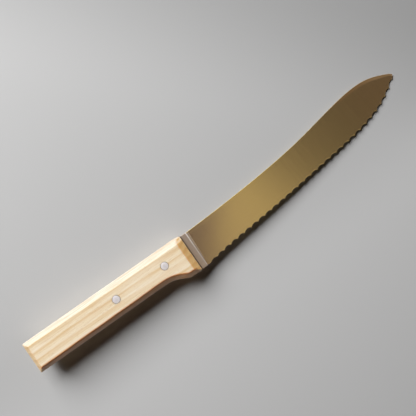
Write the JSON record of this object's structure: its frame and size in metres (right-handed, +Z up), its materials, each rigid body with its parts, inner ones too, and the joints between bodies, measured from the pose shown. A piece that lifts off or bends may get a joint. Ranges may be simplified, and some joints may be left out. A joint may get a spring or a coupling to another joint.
{
  "type": "bread knife",
  "caption": "Bread knife with an upswept scalloped steel blade, half tang and a chamfered beech handle held by flush aluminium rivets.",
  "frame": {"origin": "middle of the handle's flat under side, half way along the handle and on its centre line", "axes": "+X along the handle towards the tip of the blade, +Y towards the blade's spine, +Z up, out of the handle's upper side; the knife lies on its side"},
  "size_m": [0.3502, 0.0487, 0.017],
  "materials": {
    "blade_steel": "satin, brushed across the blade",
    "handle_wood": "pale beech, smooth, thin clear varnish",
    "rivet_metal": "ground flush, satin"
  },
  "bodies": {
    "root": {"blade": "blade_steel", "handle": "handle_wood", "rivet_front_female": "rivet_metal", "rivet_front_male": "rivet_metal", "rivet_rear_female": "rivet_metal", "rivet_rear_male": "rivet_metal"}
  },
  "joints": []
}
